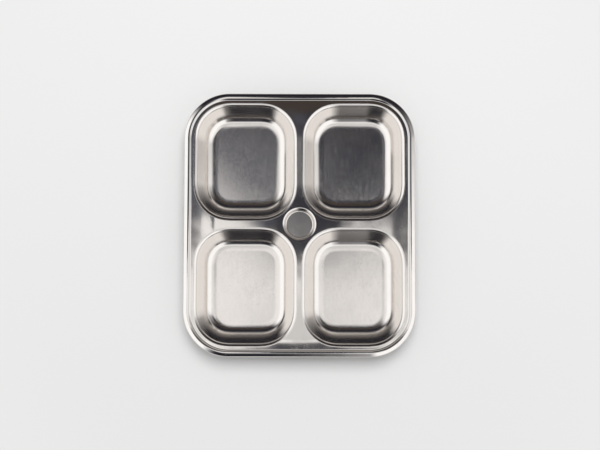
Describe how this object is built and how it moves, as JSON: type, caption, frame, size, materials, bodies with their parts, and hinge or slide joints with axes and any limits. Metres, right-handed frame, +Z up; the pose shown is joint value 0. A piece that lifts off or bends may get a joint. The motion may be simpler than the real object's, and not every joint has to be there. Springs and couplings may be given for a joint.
{
  "type": "divided compartment plate",
  "caption": "Rectangular steel serving plate pressed from one sheet, with deep rounded wells side by side, a small round centre recess and a rolled rim.",
  "frame": {"origin": "centre of the plate on the surface that it rests on, under the centre dimple", "axes": "+X to the right and +Y to the far edge of the plate as pictured, +Z up out of the wells"},
  "size_m": [0.216, 0.246, 0.0225],
  "materials": {
    "polished_steel": "mirror-polished stainless sheet with fine handling scratches",
    "well_steel": "polished stainless walls running into a satin floor with fine straight grain",
    "satin_steel": "satin stainless disc with fine straight grain"
  },
  "bodies": {
    "root": {"deck": "polished_steel", "rolled_rim": "polished_steel", "rear_left_well": "well_steel", "rear_right_well": "well_steel", "front_left_well": "well_steel", "front_right_well": "well_steel", "centre_dimple": "satin_steel"}
  },
  "joints": []
}
